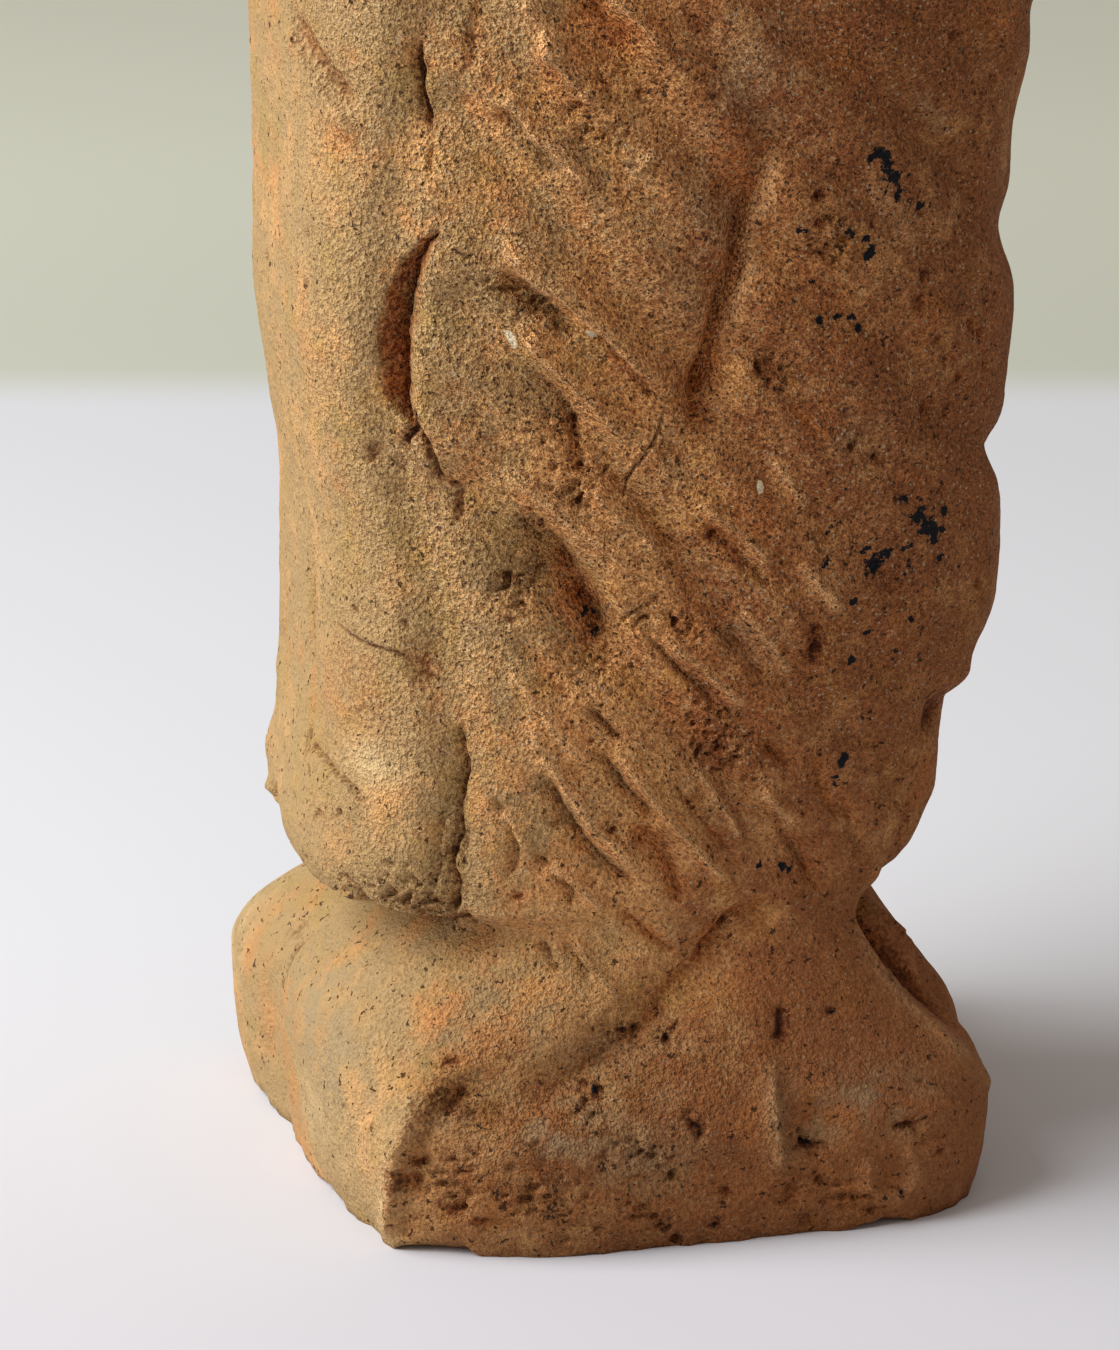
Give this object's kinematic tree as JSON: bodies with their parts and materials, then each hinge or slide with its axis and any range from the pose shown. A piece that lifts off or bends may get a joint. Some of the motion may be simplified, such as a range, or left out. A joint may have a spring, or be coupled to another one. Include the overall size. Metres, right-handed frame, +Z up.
{
  "type": "fired clay statuette",
  "caption": "Small standing figure of fired clay in a long mantle drawn over the head, on its own low flared plinth; rests upright on its flat underside.",
  "frame": {"origin": "on the ground under the upright axis of the body, in the plane of the plinth's underside", "axes": "+Z up to the crown, -Y out of the figure's front, +X to the viewer's right"},
  "size_m": [0.0526, 0.0441, 0.168],
  "materials": {
    "fired_clay": "unglazed, gritty and weathered, dull tan to reddish brown"
  },
  "bodies": {
    "root": {"statuette": "fired_clay"}
  },
  "joints": []
}
